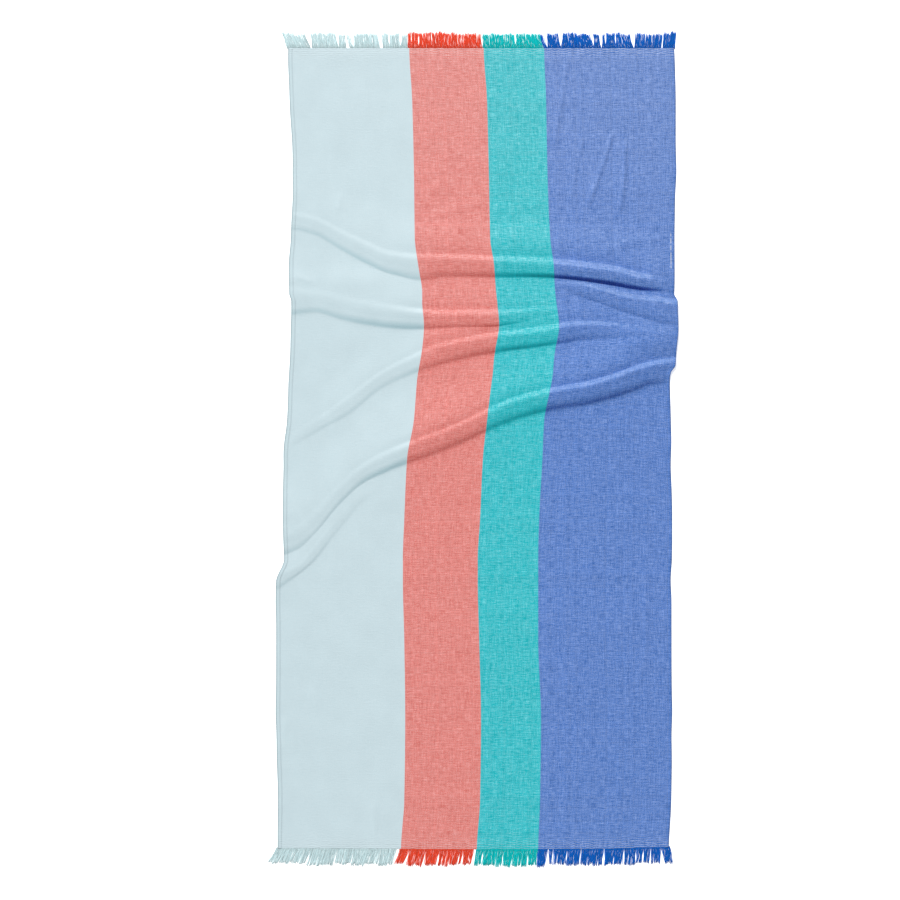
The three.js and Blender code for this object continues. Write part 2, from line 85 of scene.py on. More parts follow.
# Distance along the towel, then the places across the table of the left edge, the three stripe
# borders and the right edge
SECTIONS = np.array([
    (0, -405, -144, 18, 151, 434),
    (110, -403, -138, 25, 155, 438),
    (265, -395, -134, 29, 158, 438),
    (415, -399, -132, 32, 164, 434),
    (470, -403, -125, 40, 171, 434),
    (534, -403, -116, 45, 175, 434),
    (551, -399, -116, 47, 177, 442),
    (605, -399, -112, 51, 183, 442),
    (655, -401, -116, 43, 175, 439),
    (690, -403, -122, 39, 171, 437),
    (706, -404, -125, 38, 170, 427),
    (720, -405, -127, 36, 168, 425),
    (810, -408, -134, 25, 151, 427),
    (895, -416, -149, 16, 147, 427),
    (1025, -416, -155, 10, 140, 429),
    (1110, -414, -158, 5, 138, 429),
    (1160, -432, -158, 5, 138, 427),
    (1285, -432, -155, 8, 138, 429),
    (1460, -432, -153, 12, 144, 429),
    (1635, -427, -155, 10, 142, 427),
    (CLOTH_LENGTH, -429, -162, 3, 138, 423),
], float)

# How far each part of the bottom end falls short of the full length
BOTTOM_END = np.array([(0, 2), (430, 0), (700, 1), (850, 5)], float)

# Folds from the top end down, each with the length of cloth that climbs gently towards it. Each row
# gives the distance across the cloth, where the crest lies along the towel, how far it rises, how
# wide its upper and lower flanks are, and the share of the rise that is a steep step.
FOLDS = {
    "upper": (110, [
        (0, 375, 3.3, 30, 15, 0.3),
        (52, 385, 4.2, 30, 16, 0.3),
        (107, 414, 5.2, 34, 17, 0.3),
        (165, 444, 7.2, 40, 20, 0.3),
        (215, 467, 8.2, 43, 21, 0.3),
        (270, 473, 9.5, 41, 26, 0.35),
        (320, 470, 10.5, 35, 22, 0.5),
        (430, 474, 12, 33, 19, 0.65),
        (540, 481, 14, 38, 13.5, 0.7),
        (600, 487, 16.5, 40, 12, 0.85),
        (650, 493, 17.5, 41, 12, 0.85),
        (705, 500, 17, 40, 12, 0.85),
        (770, 511, 13.5, 33, 11, 0.75),
        (800, 513, 8, 29, 11, 0.12),
        (825, 515, 4, 23, 10, 0),
        (850, 517, 2, 20, 9, 0),
    ]),
    "upper right": (20, [
        (0, 440, 0, 20, 15, 0.7),
        (270, 522, 0, 12, 9, 0.7),
        (550, 512, 0, 10, 8, 0.7),
        (575, 516, 3, 12, 8, 0.4),
        (615, 522, 5.5, 20, 12, 0.4),
        (650, 529, 7.5, 22, 17, 0.4),
        (705, 546, 10, 29, 20, 0.55),
        (760, 557, 13, 29, 24, 0.65),
        (800, 566, 13, 40, 25, 0.7),
        (825, 571, 10.5, 41, 25, 0.7),
        (850, 573, 6, 40, 24, 0.7),
    ]),
    "middle left": (100, [
        (0, 555, 6, 60, 18, 0.2),
        (50, 552, 5, 45, 17, 0.15),
        (100, 564, 6.5, 47, 19, 0.1),
        (155, 575, 8.5, 44, 20, 0.1),
        (205, 582, 9.5, 39, 20, 0.15),
        (270, 587, 10.5, 30, 19, 0.5),
        (310, 589, 11.5, 29, 18, 0.65),
        (420, 590, 12.5, 32, 16, 0.6),
        (475, 584, 8, 23, 14, 0.5),
        (525, 578, 4.5, 21, 13, 0.4),
        (580, 574, 3.5, 18, 10, 0.2),
        (640, 578, 0, 10, 8, 0.2),
        (850, 600, 0, 8, 6, 0.2),
    ]),
    "middle": (80, [
        (0, 862, 0, 12, 10, 0.2),
        (30, 842, 1.4, 26, 12, 0.2),
        (75, 813, 2, 27, 12, 0.2),
        (137, 770, 3.2, 36, 17, 0.2),
        (196, 719, 3.2, 29, 17, 0.3),
        (248, 690, 4.6, 32, 18, 0.3),
        (285, 673, 6.8, 36, 19, 0.35),
        (311, 664, 9, 35, 19.5, 0.3),
        (420, 639, 11, 30, 20, 0.5),
        (475, 634, 12, 33, 17, 0.65),
        (525, 628, 12, 34, 17, 0.65),
        (585, 617, 11.5, 33, 19, 0.6),
        (640, 611, 9, 26, 19, 0.6),
        (700, 614, 6, 26, 17, 0.35),
        (770, 621, 3.5, 20, 15, 0.1),
        (850, 624, 0, 14, 12, 0.1),
    ]),
    "long diagonal": (140, [
        (0, 1074, 6, 34, 21, 0.05),
        (30, 1065, 5, 43, 21, 0.05),
        (72, 1032, 4.5, 51, 21, 0.05),
        (126, 968, 5, 36, 20, 0.05),
        (180, 920, 6.8, 32, 19, 0.1),
        (232, 894, 8.8, 36, 19, 0.15),
        (285, 870, 10.5, 32, 22, 0.3),
        (334, 849, 11.5, 27, 24, 0.25),
        (375, 832, 11.5, 29, 24, 0.25),
        (439, 801, 12.5, 30, 24, 0.4),
        (490, 779, 13.5, 30, 24, 0.55),
        (540, 765, 15, 30, 23.5, 0.65),
        (599, 751, 16, 25, 25, 0.6),
        (650, 743, 16.5, 26, 26, 0.6),
        (715, 728, 16.5, 31, 25, 0.6),
        (771, 711, 15, 39, 25, 0.6),
        (800, 702, 14, 34, 23, 0.6),
        (825, 700, 11, 39, 23, 0.6),
        (850, 700, 7, 44, 21, 0.6),
    ]),
    "lower left": (60, [
        (0, 1153, 3.5, 32, 17, 0.15),
        (30, 1139, 3, 25, 14, 0.1),
        (71, 1096, 2.6, 30, 13, 0.1),
        (128, 1028, 1.6, 27, 12, 0.1),
        (183, 970, 1, 18, 9, 0.1),
        (240, 945, 0, 8, 6, 0.1),
        (430, 900, 0, 20, 20, 0.1),
        (850, 830, 0, 30, 30, 0.1),
    ]),
}

# Soft swellings between the folds: height, place across the cloth and along it, and reach both ways
SWELLINGS = [
    (9.5, 785, 622, 72, 40),
    (3, 700, 668, 60, 34),
    (2, 640, 420, 120, 30),
    (2, 330, 400, 90, 26),
    (1.5, 480, 420, 60, 26),
    (2, 130, 505, 70, 22),
]

# Fine pressing creases: height and half width, then their line as places on the table, with the
# distance along the towel second
CREASES = [
    (1.3, 6, [(203, 9), (188, 124), (171, 222)]),
    (0.8, 6, [(236, 189), (212, 304), (203, 350)]),
    (2.1, 6, [(303, 176), (277, 259), (244, 346)]),
    (1.9, 6, [(329, 193), (325, 267), (316, 363)]),
    (0.9, 7, [(382, 20), (375, 130)]),
    (0.9, 9, [(273, 450), (327, 424), (414, 413)]),
    (0.6, 8, [(-82, 243), (-10, 226)]),
    (0.6, 8, [(-118, 283), (-60, 254)]),
    (0.6, 8, [(-118, 320), (-42, 287)]),
    (0.8, 9, [(-118, 374), (27, 330)]),
    (0.6, 7, [(129, 270), (153, 233)]),
    (0.7, 8, [(110, 363), (153, 320)]),
    (0.9, 9, [(34, 348), (105, 359)]),
    (0.5, 6, [(153, 515), (153, 574)]),
    (0.6, 8, [(-290, 309), (-297, 363)]),
    (0.6, 9, [(-397, 493), (-347, 511)]),
    (0.7, 6, [(251, 1070), (258, 1178), (268, 1254), (282, 1287), (288, 1417)]),
    (0.7, 6, [(279, 1239), (299, 1276)]),
    (0.8, 6, [(164, 1322), (190, 1352), (210, 1396), (218, 1428)]),
    (0.8, 6, [(171, 1435), (182, 1504), (197, 1570), (210, 1628)]),
    (0.9, 6, [(218, 1461), (251, 1483), (279, 1537), (310, 1591), (327, 1652)]),
    (0.7, 6, [(310, 1526), (319, 1591), (327, 1635)]),
    (0.6, 6, [(371, 1157), (373, 1287), (353, 1417)]),
    (0.7, 8, [(382, 1304), (421, 1320)]),
    (0.7, 8, [(382, 1330), (425, 1348)]),
    (0.5, 6, [(116, 1113), (114, 1157), (125, 1183)]),
    (0.5, 6, [(110, 1244), (114, 1309)]),
    (0.6, 6, [(114, 1374), (118, 1407), (136, 1417)]),
    (0.4, 6, [(116, 1450), (114, 1765)]),
    (0.5, 7, [(-358, 1385), (-340, 1450)]),
    (0.5, 7, [(-412, 1450), (-412, 1504)]),
    (0.5, 7, [(-221, 1635), (-216, 1711), (-195, 1733)]),
]

# Sizes of the fringe, as in the part's source
LOCK_PITCH = 6.8
LOCK_BITE = 2
LOCK_CLEARANCE = 1.6
LOCK_SWAY = 1
LOCK_BOW = 0.8
LOCK_SHORTER = 4
LOCK_SHARES = np.array([0, 0.55, 1])
LOCK_WIDTHS = np.array([3.4, 4.2, 2.4])

# Groups of locks from left to right: places of the first and last root across the table, how far
# their tips lean, and the length of the longest
TOP_GROUPS = [
    (-402, -360, -14, -13, 30),
    (-349, -299, -4, -7, 32),
    (-290, -283, -2, -2, 29),
    (-266, -266, -9, -9, 28),
    (-258, -210, -2, -4, 30),
    (-195, -166, -4, -2, 30),
    (-158, -149, 2, 0, 28),
    (-141, -125, 0, 0, 32),
    (-117, -40, -1, -1, 32),
    (-31, 5, -1, -4, 30),
    (13, 13, -2, -2, 28),
    (22, 86, -3, -2, 30),
    (94, 107, -2, -2, 30),
    (116, 145, -3, -7, 30),
    (155, 155, -9, -9, 30),
    (163, 182, -3, -3, 30),
    (190, 214, 3, -4, 31),
    (224, 255, -5, -9, 30),
    (264, 272, -3, -4, 29),
    (281, 310, 0, -2, 30),
    (319, 342, -7, -7, 30),
    (351, 401, 3, 4, 30),
    (413, 431, 2, 4, 32),
]
BOTTOM_GROUPS = [
    (-426, -395, -20, -13, 31),
    (-386, -358, -13, -13, 31),
    (-350, -301, -13, -11, 35),
    (-292, -266, -8, -9, 31),
    (-258, -234, -9, -11, 35),
    (-224, -212, -13, -11, 31),
    (-204, -173, -10, -9, 33),
    (-158, -146, -12, -11, 31),
    (-137, -110, -9, -9, 34),
    (-102, -79, -4, -9, 33),
    (-71, -55, -7, -8, 34),
    (-47, -27, -7, -7, 33),
    (-19, -6, -4, -5, 33),
    (8, 45, -5, -4, 33),
    (53, 114, -4, -5, 35),
    (122, 134, -2, -2, 34),
    (143, 155, -4, -8, 36),
    (166, 166, -1, -1, 33),
    (176, 197, -2, -2, 32),
    (206, 227, -4, -4, 33),
    (237, 277, -4, -4, 33),
    (287, 321, -2, -4, 33),
    (330, 347, -3, -2, 34),
    (356, 379, -4, -3, 33),
    (388, 401, -1, 0, 33),
    (409, 420, 7, 7, 33),
]
ENDS = {"top": (TOP_GROUPS, 1), "bottom": (BOTTOM_GROUPS, -1)}

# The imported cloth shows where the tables' zero lies in the frame
CLOTH_LOW, CLOTH_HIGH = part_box("cloth")
SHIFT_X = CLOTH_LOW.x - SECTIONS[:, 1].min() * MM
SHIFT_Y = CLOTH_HIGH.y - (CLOTH_LENGTH / 2 - END_MARGIN) * MM


def on_table(across, up):
    """Place in the frame, in metres, of a place on the table in millimetres from its middle."""
    return across * MM + SHIFT_X, up * MM + SHIFT_Y


def read_table(places, knots, values):
    """Reads a table between its rows. The value follows a cubic whose slope at a row is the harmonic
    mean of the grades on both sides, and zero at a peak and at both ends."""
    knots = np.asarray(knots, float)
    values = np.asarray(values, float)
    run = np.diff(knots)
    grade = np.diff(values) / run
    product = grade[:-1] * grade[1:]
    total = np.where(product > 0, grade[:-1] + grade[1:], 1)
    slope = np.zeros(len(values))
    slope[1:-1] = np.where(product > 0, 2 * product / total, 0)
    held = np.clip(places, knots[0], knots[-1])
    k = np.clip(np.searchsorted(knots, held) - 1, 0, len(run) - 1)
    t = (held - knots[k]) / run[k]
    blend = t * t * (3 - 2 * t)
    level = values[k] + (values[k + 1] - values[k]) * blend
    return level + t * (1 - t) * run[k] * ((1 - t) * slope[k] - t * slope[k + 1])


def ease(low, high, value):
    """Goes from 0 at low to 1 at high along 3t² - 2t³."""
    t = np.clip((value - low) / (high - low), 0, 1)
    return t * t * (3 - 2 * t)


def scatter(index, series):
    """A number from 0 to 1 that looks random: the fraction of a large multiple of a sine."""
    raw = np.sin(index * 12.9898 + series * 78.233) * 43758.5453
    return raw - np.floor(raw)


def gentle_waves(x, y, shortest, longest, count, seed):
    """Sum of count sine waves in random directions, scaled to about -1 to 1."""
    dice = np.random.default_rng(seed)
    heading = dice.uniform(0, 2 * np.pi, count)
    length = dice.uniform(shortest, longest, count)
    phase = dice.uniform(0, 2 * np.pi, count)
    total = np.zeros(np.broadcast(x, y).shape)
    for a, span, start in zip(heading, length, phase):
        total += np.sin(2 * np.pi * (x * np.cos(a) + y * np.sin(a)) / span + start)
    return total / np.sqrt(2 * count)


def place_across(weft, along):
    """Straight between the two stripe edges beside it, as the sections give them at that distance."""
    k = np.clip(np.searchsorted(MARKS, weft) - 1, 0, len(STRIPES) - 1)
    share = (weft - MARKS[k]) / (MARKS[k + 1] - MARKS[k])
    edges = np.stack([read_table(along, SECTIONS[:, 0], SECTIONS[:, 1 + n]) for n in range(5)])
    k = np.broadcast_to(k, along.shape)
    start = np.take_along_axis(edges, k[None], 0)[0]
    end = np.take_along_axis(edges, k[None] + 1, 0)[0]
    return start + (end - start) * share


def fold_lines(weft):
    """Climb, crest, rise, upper flank, lower flank and step of each fold, at distances across."""
    found = []
    for climb, stations in FOLDS.values():
        rows = np.array(stations, float)
        found.append([climb, *(read_table(weft, rows[:, 0], rows[:, n]) for n in range(1, 6))])
    return found


def rows_along(weft, count):
    """Distances along the towel of the rows, for each line. They are shared out by a density that is
    high over a fold, highest on its steep upper flank, and even elsewhere."""
    ends = CLOTH_LENGTH - read_table(weft, BOTTOM_END[:, 0], BOTTOM_END[:, 1])
    place = np.linspace(0, 1, 2400)[:, None] * ends[None]
    density = np.where(place < 440, 1 / 6.4, 1 / 8.8)
    for _, crest, rise, up, down, _ in fold_lines(weft):
        worth = ease(0, 3, rise)
        flanks = ease(-up - 14, -up, place - crest) * (1 - ease(down, down + 16, place - crest))
        flank = np.exp(-(((place - crest + 0.5 * up) / 10) ** 2))
        foot = np.exp(-(((place - crest - 1.05 * down) / 9) ** 2))
        density = density + worth * (0.2 * flanks + 0.2 * flank + 0.16 * foot)
    density = density + 0.4 * np.exp(-place / 4) + 0.4 * np.exp(-(ends - place) / 4)
    total = np.cumsum(density, axis=0)
    total = (total - total[:1]) / (total[-1:] - total[:1])
    steps = np.linspace(0, 1, count)
    columns = [np.interp(steps, total[:, n], place[:, n]) for n in range(len(weft))]
    return np.stack(columns, axis=1)


def fold_height(weft, along):
    """Height of the folds. The cloth climbs gently towards a fold, dips, and steps up the upper
    flank. The fold then falls slowly as far as its crest, ever faster to its foot, and runs out. Every
    part is a smooth ease between two distances from the crest, but half of the fall is a power of 2.5."""
    height = np.zeros(along.shape)
    spread = np.zeros(along.shape)
    for climb, crest, rise, up, down, step in fold_lines(weft):
        off = along - crest
        half = 3.5 + 0.09 * up
        above = off + 0.5 * up
        gained = step * ease(-half, half, above) + (1 - step) * ease(-climb, half, above)
        falling = np.clip((off / down + 0.65) / 2, 0, 1) ** 2.5
        fall = 0.5 * ease(0.45, 1.6, off / down) + 0.5 * falling
        lost = 0.2 * ease(half, 0.5 * up + 0.8 * down, above) + 0.8 * fall
        height = np.maximum(height, rise * (gained - lost))
        swell = ease(-up - 70, -up - 8, off) * (1 - ease(-up - 8, -0.6 * up, off))
        settle = np.where(off > down, np.exp(-(off - down) / 26), ease(0, 1, off / down))
        dip = 0.04 + 0.12 * ease(180, 300, weft)
        spread = spread + rise * (dip * swell + 0.1 * settle)
    for rise, x, y, wide, long in SWELLINGS:
        spread = spread + rise * np.exp(-(((weft - x) / wide) ** 2) - ((along - y) / long) ** 2)
    return height + spread


# How much the creases' heights are raised, and the length over which each end fades out
CREASE_RISE = 1.7
CREASE_FADE = 18


def crease_height(across, along):
    """Each pressing crease is a bell over the distance to its line, and fades out at both ends."""
    height = np.zeros(along.shape)
    for rise, width, line in CREASES:
        line = np.array(line, float)
        steps = np.diff(line, axis=0)
        lengths = np.hypot(*steps.T)
        begun = np.concatenate([[0], np.cumsum(lengths)])
        nearest = np.full(along.shape, 1e9)
        travelled = np.zeros(along.shape)
        for start, step, length, before in zip(line, steps, lengths, begun):
            dx = across - start[0]
            dy = along - start[1]
            t = np.clip((dx * step[0] + dy * step[1]) / length**2, 0, 1)
            gap = np.hypot(dx - t * step[0], dy - t * step[1])
            travelled = np.where(gap < nearest, before + t * length, travelled)
            nearest = np.minimum(nearest, gap)
        fade = ease(0, CREASE_FADE, travelled) * ease(0, CREASE_FADE, begun[-1] - travelled)
        height += CREASE_RISE * rise * fade * np.exp(-((nearest / width) ** 2) * 1.4)
    return height


def hem_ripple(weft, along):
    """The hem's edge lifts in short waves whose height wanders, and they die out inwards."""
    inward = np.minimum(weft, CLOTH_WIDTH - weft)
    side = np.where(weft < CLOTH_WIDTH / 2, 1.7, 0.4)
    wave = np.sin(along * 2 * np.pi / 41 + side + 2 * np.sin(along / 57 + side))
    return 0.35 * np.exp(-inward / 14) * (1 + wave) * (0.6 + 0.4 * np.sin(along / 83 + side))


def lines_across():
    """Distances across the cloth of the lines: close together at the hems, even in each stripe."""
    hem = [HEM_ROUND, 2.4, 4.4, 6.4, 8, 8.7, 9.5, 10.5, 12]
    parts = [hem]
    for n, (width, pitch) in enumerate(STRIPES.values()):
        start = hem[-1] if n == 0 else MARKS[n]
        end = CLOTH_WIDTH - hem[-1] if n == len(STRIPES) - 1 else MARKS[n + 1]
        steps = int(round((end - start) / pitch))
        parts.append(np.linspace(start, end, steps + 1)[1:])
    parts.append(CLOTH_WIDTH - np.array(hem[-2::-1]))
    return np.concatenate(parts)


def thickness_of(weft):
    """Plain cloth, with a thicker hem that begins in a short step."""
    inward = np.minimum(weft, CLOTH_WIDTH - weft)
    hem = 1 - ease(HEM_WIDTH - HEM_STEP, HEM_WIDTH, inward)
    return CLOTH_THICKNESS + (HEM_THICKNESS - CLOTH_THICKNESS) * hem


def normals_of(points):
    """Unit normals of a grid of points: the step down the towel crossed with the step across it."""
    down = np.gradient(points, axis=0)
    across = np.gradient(points, axis=1)
    normal = np.cross(down, across)
    return normal / np.linalg.norm(normal, axis=2, keepdims=True)


def put_in_mesh(name, points, faces, material):
    """New object from an array of points in metres and a list of arrays of faces, each with its own
    number of corners."""
    corners = np.concatenate([f.ravel() for f in faces]).astype(np.int32)
    sizes = np.concatenate([np.full(len(f), f.shape[1]) for f in faces])
    starts = np.concatenate([[0], np.cumsum(sizes)[:-1]]).astype(np.int32)
    mesh = bpy.data.meshes.new(name)
    mesh.vertices.add(len(points))
    mesh.vertices.foreach_set("co", points.astype(np.float32).ravel())
    mesh.loops.add(len(corners))
    mesh.loops.foreach_set("vertex_index", corners)
    mesh.polygons.add(len(starts))
    mesh.polygons.foreach_set("loop_start", starts)
    mesh.polygons.foreach_set("use_smooth", np.ones(len(starts), bool))
    mesh.update(calc_edges=True)
    mesh.materials.append(material)
    piece = bpy.data.objects.new(name, mesh)
    bpy.context.scene.collection.objects.link(piece)
    return piece


def add_map(piece, name, places):
    """UV map from one place for each corner of the faces."""
    layer = piece.data.uv_layers.new(name=name)
    layer.uv.foreach_set("vector", places.astype(np.float32).ravel())


def add_numbers(piece, name, numbers):
    """One number a point, which the piece's finish reads by name."""
    layer = piece.data.attributes.new(name, "FLOAT", "POINT")
    layer.data.foreach_set("value", numbers.astype(np.float32))


# Rows of points down the cloth, every how many lines the underside has one, the angles of the points
# round each side edge, and the length of the flat cloth
ROWS = 318
UNDER_STEP = 8
ROUND_ANGLES = np.radians([60, 30, 0, -30, -60])
ROUND_POINTS = len(ROUND_ANGLES)
WOVEN_LENGTH = 1775

# How far the side edges sway and how soon that dies out inwards, how high the gentle waves are, how long
# the flat stretch at each end is, and, for the light and shade painted on the folds, the slope that
# counts as one unit and the most units of painted shade
EDGE_SWAY = 0.7
SWAY_REACH = 25
WAVE_RISE = 0.5
FLAT_END = 14
SLOPE_OF_FULL_PAINT = 0.55
MOST_PAINTED_SHADE = 2.4


def spread_round(values, picked):
    """Values of the upper side carried round each row's loop: the right half round takes the last
    one, the underside takes those above its points, and the left half round takes the first."""
    last = [values[:, -1:]] * ROUND_POINTS
    first = [values[:, :1]] * ROUND_POINTS
    return np.concatenate([values, *last, values[:, picked[::-1]], *first], axis=1)


def make_cloth(material):
    """The woven cloth. Its underside is the height of the folds and creases over the table, and its
    upper side lies off that by the thickness along the normal. Each row is a closed loop: the upper
    side from left to right, a half round, the underside back, and another half round."""
    weft = lines_across()
    along = rows_along(weft, ROWS)
    across = place_across(weft[None], along)
    inward = np.minimum(weft, CLOTH_WIDTH - weft)
    side = np.where(weft < CLOTH_WIDTH / 2, -1, 1)
    sway = np.sin(along / 31 + 1.3 * np.sin(along / 47))
    across = across + side * EDGE_SWAY * np.exp(-inward / SWAY_REACH) * sway
    waves = gentle_waves(across, along, 60, 190, 26, seed=3)
    height = fold_height(weft[None], along) + crease_height(across, along)
    height = height + WAVE_RISE * np.clip(waves + 0.6, 0, None) + hem_ripple(weft[None], along)
    calm = ease(0, FLAT_END, along) * ease(0, FLAT_END, along[-1:] - along)
    height = height * calm
    x, y = on_table(across, CLOTH_LENGTH / 2 - along)
    under = np.stack([x, y, height * MM], axis=2)
    normal = normals_of(under)
    thickness = thickness_of(weft)[None, :, None] * MM
    upper = under + normal * thickness

    picked = np.unique(np.append(np.arange(0, len(weft), UNDER_STEP), len(weft) - 1))
    angle = ROUND_ANGLES[None, :, None]
    rounds = []
    for edge, outward in ((-1, 1), (0, -1)):
        level = 0.5 + 0.5 * np.sin(angle)
        core = under[:, edge, None] + normal[:, edge, None] * HEM_THICKNESS * MM * level
        reach = np.array([outward * HEM_ROUND * MM, 0, 0]) * np.cos(angle)
        rounds.append(core + reach)
    right, left = rounds
    loop = np.concatenate([upper, right, under[:, picked[::-1]], left[:, ::-1]], axis=1)

    count = loop.shape[1]
    index = np.arange(ROWS * count).reshape(ROWS, count)
    nxt = np.roll(index, -1, axis=1)
    quads = np.stack([index[:-1], index[1:], nxt[1:], nxt[:-1]], axis=2).reshape(-1, 4)

    right_at = len(weft)
    under_at = right_at + ROUND_POINTS
    left_at = under_at + len(picked)
    under_of = {int(p): under_at + len(picked) - 1 - n for n, p in enumerate(picked)}
    caps = []
    for a, b in zip(picked[:-1], picked[1:]):
        caps.append(list(range(a, b + 1)) + [under_of[int(b)], under_of[int(a)]])
    caps.append([0, under_of[0]] + list(range(left_at, left_at + ROUND_POINTS)))
    last = len(weft) - 1
    caps.append([under_of[last], last] + list(range(right_at, right_at + ROUND_POINTS)))
    faces = [quads]
    for cap in caps:
        faces.append(np.array([cap]))
        faces.append(np.array([cap[::-1]]) + (ROWS - 1) * count)
    piece = put_in_mesh("woven_cloth", loop.reshape(-1, 3), faces, material)

    lengths = np.linalg.norm(np.diff(upper, axis=0), axis=2)
    run = np.concatenate([np.zeros((1, len(weft))), np.cumsum(lengths, axis=0)])
    run = run / run[-1:] * WOVEN_LENGTH * MM
    turn = HEM_ROUND * (1 - np.cos(ROUND_ANGLES))
    u = np.concatenate([weft, CLOTH_WIDTH - turn, weft[picked[::-1]], turn[::-1]]) * MM
    v = spread_round(run, picked)
    places = np.stack([np.broadcast_to(u, v.shape), v], axis=2).reshape(-1, 2)
    corners = np.concatenate([f.ravel() for f in faces])
    add_map(piece, "threads", places[corners])
    # The slope down the towel, stored for painted light and shade: the finish paints slopes that climb
    # towards the lamps at the top end lighter, and slopes that fall away darker
    slope = np.gradient(height, axis=0) / np.gradient(along, axis=0)
    painted_light_slope = np.clip(slope / SLOPE_OF_FULL_PAINT, -MOST_PAINTED_SHADE, 1)
    add_numbers(piece, "painted_light_slope", spread_round(painted_light_slope, picked).ravel())
    return piece


def locks_of(end):
    """Root, reach and three places across the table of each lock, from left to right. Each lock
    stays clear of the one before it."""
    groups, outward = ENDS[end]
    roots, reaches, places = [], [], []
    for first, last, lean_first, lean_last, longest in groups:
        count = int(round((last - first) / LOCK_PITCH)) + 1
        for k in range(count):
            share = k / (count - 1) if count > 1 else 0
            sway = 2 * scatter(len(roots), outward) - 1
            root = first + (last - first) * share
            lean = lean_first + (lean_last - lean_first) * share + LOCK_SWAY * sway
            wanted = root + lean * LOCK_SHARES + LOCK_BOW * sway * np.sin(np.pi * LOCK_SHARES)
            if places:
                gap = LOCK_WIDTHS + np.where(LOCK_SHARES > 0, LOCK_CLEARANCE, 0)
                wanted = np.maximum(wanted, places[-1] + gap)
            reaches.append(longest - LOCK_SHORTER * scatter(len(roots), 2 * outward))
            roots.append(root)
            places.append(wanted)
    return np.array(roots), np.array(reaches), np.array(places)


def end_edge(end, across):
    """Distance up the table of the woven cloth's end, at places across the table."""
    section = SECTIONS[0] if end == "top" else SECTIONS[-1]
    weft = (across - section[1]) / (section[5] - section[1]) * CLOTH_WIDTH
    if end == "top":
        return np.full(np.shape(across), CLOTH_LENGTH / 2)
    return read_table(weft, BOTTOM_END[:, 0], BOTTOM_END[:, 1]) - CLOTH_LENGTH / 2


# Yarns in a lock, the rings and sides of each, its radius, and how far apart yarns lie at the root
YARNS = 11
YARN_RINGS = 9
YARN_SIDES = 5
YARN_RADIUS = 0.68
YARN_PITCH = 0.7


def tubes_along(centres, radii):
    """Round yarns skinned over rings about their centre lines. centres is yarn by ring by 3, radii is
    yarn by ring, and each ring is square to the line. Returns the points, faces, tube places and the
    yarn of each point."""
    count, rings = radii.shape
    ahead = np.gradient(centres, axis=1)
    ahead /= np.linalg.norm(ahead, axis=2, keepdims=True)
    side = np.cross(ahead, [0.0, 0.0, 1.0])
    side /= np.linalg.norm(side, axis=2, keepdims=True)
    rise = np.cross(side, ahead)
    angle = np.linspace(0, 2 * np.pi, YARN_SIDES, endpoint=False)
    ring = side[:, :, None] * np.cos(angle)[:, None] + rise[:, :, None] * np.sin(angle)[:, None]
    points = centres[:, :, None] + ring * radii[:, :, None, None]
    index = np.arange(points[..., 0].size).reshape(count, rings, YARN_SIDES)
    nxt = np.roll(index, -1, axis=2)
    quads = np.stack([index[:, :-1], nxt[:, :-1], nxt[:, 1:], index[:, 1:]], axis=3)
    travelled = np.linalg.norm(np.diff(centres, axis=1), axis=2)
    travelled = np.concatenate([np.zeros((count, 1)), np.cumsum(travelled, axis=1)], axis=1)
    around = np.arange(YARN_SIDES) / YARN_SIDES
    beside = around + 1 / YARN_SIDES
    low = np.broadcast_to(travelled[:, :-1, None], quads.shape[:3])
    high = np.broadcast_to(travelled[:, 1:, None], quads.shape[:3])
    left = np.broadcast_to(around, quads.shape[:3])
    right = np.broadcast_to(beside, quads.shape[:3])
    quad_map = np.stack([left, low, right, low, right, high, left, high], axis=3).reshape(-1, 2)
    caps = np.concatenate([index[:, 0, ::-1], index[:, -1]])
    cap_map = np.zeros((caps.size, 2))
    cap_map[:, 0] = np.tile(around, len(caps))
    cap_map[len(cap_map) // 2 :, 1] = np.repeat(travelled[:, -1], YARN_SIDES)
    yarn = np.repeat(np.arange(count), rings * YARN_SIDES)
    faces = [quads.reshape(-1, 4), caps]
    return points.reshape(-1, 3), faces, np.concatenate([quad_map, cap_map]), yarn


